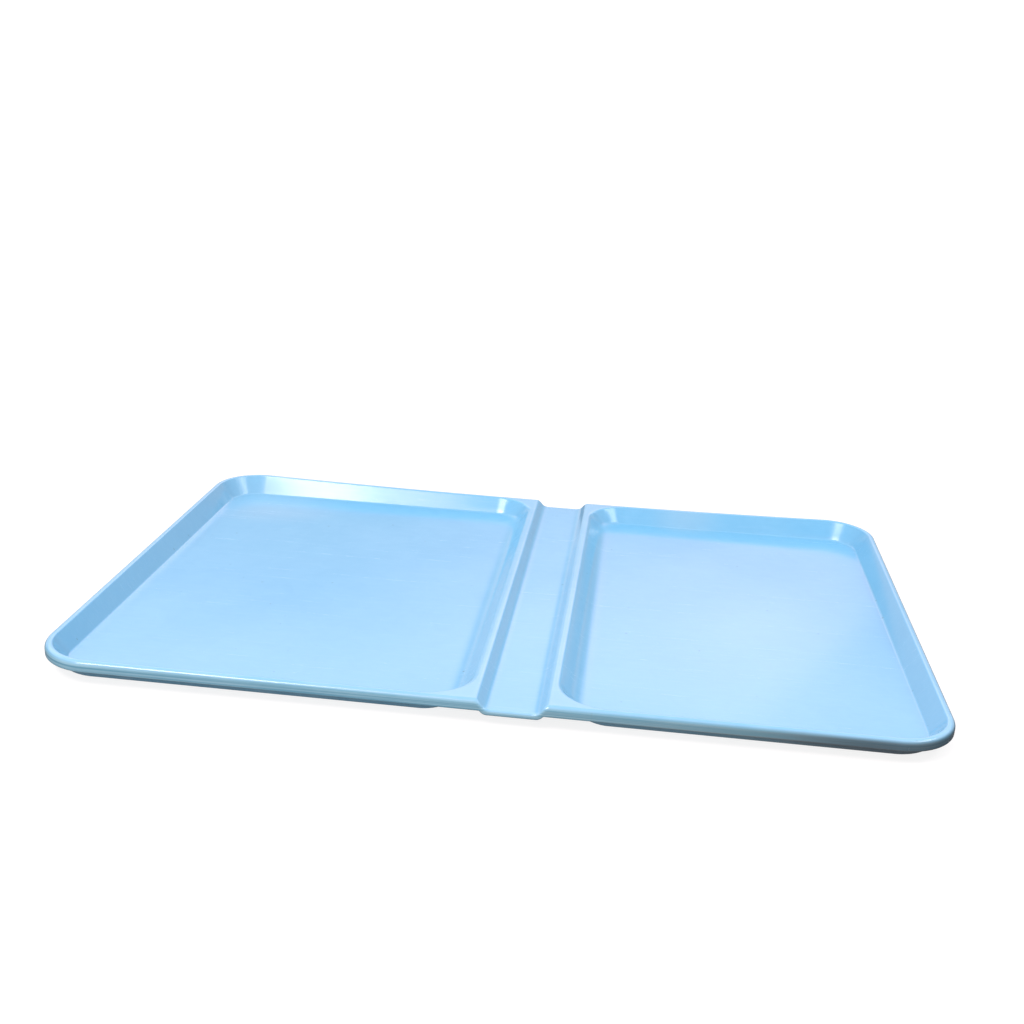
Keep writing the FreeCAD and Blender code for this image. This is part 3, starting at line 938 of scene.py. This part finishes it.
room = sky(dz, [(0, 0.22), (16, 0.24), (19, 0.32), (21, 0.50), (23, 0.75), (26, 1.10), (35, 1.35), (90, 1.35)])
room = W.math("MULTIPLY", room, W.math("MULTIPLY_ADD", dx, -0.16, 0.80))
# a pale wall low in front, behind the camera
front = sky(dz, [(0, 0.85), (20, 0.85), (34, 0.0)])
front = W.math("MULTIPLY", front, step(dy, 0.1, -0.5))
# the far wall, brighter toward its left end
far_wall = sky(dz, [(0, 0.90), (14, 0.88), (18, 0.36), (20, 0.12), (22, 0.0)])
shade = W.math("MULTIPLY", step(dx, -0.02, 0.06), step(dx, 0.41, 0.33))
far_wall = W.math("MULTIPLY", far_wall, W.math("MULTIPLY_ADD", shade, -0.48, 1.0))
far_wall = W.math("MULTIPLY", far_wall, W.math("MULTIPLY", step(dy, 0.3, 0.8), W.math("MULTIPLY_ADD", dx, -0.15, 0.75)))
room = W.math("ADD", room, far_wall)
# below the horizon: the darker bench the tray lies on, lighter at the left
low = W.math("MULTIPLY_ADD", shade, 0.13, W.math("MULTIPLY_ADD", dx, -0.05, 0.16))
under = step(dz, 0.0, -0.03)
front = W.math("MULTIPLY", front, W.math("SUBTRACT", 1.0, under))
el = W.math("ADD", W.math("MULTIPLY", room, W.math("SUBTRACT", 1.0, under)), W.math("MULTIPLY", low, under))
# a long soft panel high on the back wall, stronger toward the left
band = sky(dz, [(19, 0.0), (21, 0.10), (23, 0.36), (26, 0.98), (30, 1.15), (36, 0.6), (42, 0.0)])
band = W.math("MULTIPLY", band, W.math("MULTIPLY_ADD", dx, -0.40, 0.87))
band = W.math("MULTIPLY", band, step(dy, 0.35, 0.7))
# and a smaller, lower one to its right, cut off on a slant
low_panel = sky(dz, [(14, 0.0), (17, 0.22), (19, 0.50), (21, 0.78), (23, 1.05), (25, 0.70), (28, 0.3), (32, 0.0)])
cut = W.math("ADD", W.math("MULTIPLY", dx, 0.754), W.math("MULTIPLY", dz, 0.657))
low_panel = W.math("MULTIPLY", low_panel, step(cut, 0.396, 0.366))
low_panel = W.math("MULTIPLY", low_panel, W.math("MULTIPLY_ADD", step(dx, -0.02, 0.10), 0.5, step(dx, -0.24, 0.0)))
low_panel = W.math("MULTIPLY", low_panel, step(dy, 0.5, 0.8))


def tint(level, colour):
    n = W.n("ShaderNodeVectorMath", operation="SCALE")
    n.inputs[0].default_value = colour
    W.link(level, n.inputs["Scale"])
    return n.outputs[0]


def add(a, b):
    n = W.n("ShaderNodeVectorMath", operation="ADD")
    W.link(a, n.inputs[0])
    W.link(b, n.inputs[1])
    return n.outputs[0]


# light that comes up off the pale bench in front of the tray
bounce = W.math("MULTIPLY", W.math("MULTIPLY", under, step(dy, 0.1, -0.5)), 0.26)
light = add(tint(W.math("ADD", front, bounce), (1.02, 0.91, 0.82)), tint(el, (1.015, 0.95, 1.0)))
light = add(light, tint(W.math("ADD", band, W.math("MULTIPLY", low_panel, 0.87)), (1.02, 0.70, 0.85)))
W.link(light, bg.inputs["Color"])


def area(name, az, elev, dist, wide, high, radiance, aim=(0, 0, 0), color=(1, 1, 1)):
    """A soft rectangle at az degrees right of the front, seen from aim, that is
    wide x high degrees across and as bright as radiance."""
    a, e = math.radians(az), math.radians(elev)
    loc = Vector(aim) + dist * Vector((math.sin(a) * math.cos(e), -math.cos(a) * math.cos(e), math.sin(e)))
    d = bpy.data.lights.new(name, "AREA")
    d.shape = "RECTANGLE"
    d.size = 2 * dist * math.tan(math.radians(wide / 2))
    d.size_y = 2 * dist * math.tan(math.radians(high / 2))
    d.energy = radiance * math.pi * d.size * d.size_y
    d.color = color
    ob = bpy.data.objects.new(name, d)
    z = (loc - Vector(aim)).normalized()
    x = Vector((0, 0, 1)).cross(z).normalized()
    y = z.cross(x)
    m4 = Matrix.Identity(4)
    for r in range(3):
        m4[r][0], m4[r][1], m4[r][2], m4[r][3] = x[r], y[r], z[r], loc[r]
    ob.matrix_world = m4
    scene.collection.objects.link(ob)
    return ob


area("window", -34, 50.0, 3.0, 20, 12, 20.5, (-0.1, 0.187, 0), (1.0, 0.88, 0.85))
area("window_edge", -13, 52, 3.0, 6, 9, 4.2, (-0.06, 0.187, 0), (1.0, 0.62, 0.80))
area("right_softbox", 80, 47, 3.0, 30, 13, 5.5, (-0.1, 0.17, 0))

# camera: focal length, place and attitude
FOCAL_PX = 1279.77
cam_d = bpy.data.cameras.new("camera")
cam_d.sensor_fit = "HORIZONTAL"
cam_d.sensor_width = 36.0
cam_d.lens = 36.0 * FOCAL_PX / 1024.0
cam_d.clip_start, cam_d.clip_end = 0.01, 100.0
cam = bpy.data.objects.new("camera", cam_d)
yaw, pitch, roll = (math.radians(a) for a in (5.666, 18.665, 2.842))
Ry = np.array([[math.cos(yaw), math.sin(yaw), 0], [-math.sin(yaw), math.cos(yaw), 0], [0, 0, 1]])
base = np.array([[1, 0, 0], [0, 0, -1], [0, 1, 0]])
Rx = np.array([[1, 0, 0], [0, math.cos(pitch), -math.sin(pitch)], [0, math.sin(pitch), math.cos(pitch)]])
Rz = np.array([[math.cos(roll), -math.sin(roll), 0], [math.sin(roll), math.cos(roll), 0], [0, 0, 1]])
R = Rz @ Rx @ base @ Ry
M = Matrix.Identity(4)
for i in range(3):
    M[i][0], M[i][1], M[i][2] = R[0][i], -R[1][i], -R[2][i]
M[0][3], M[1][3], M[2][3] = 0.07757, -0.83417, 0.33336 + 0.015
cam.matrix_world = M
scene.collection.objects.link(cam)
scene.camera = cam
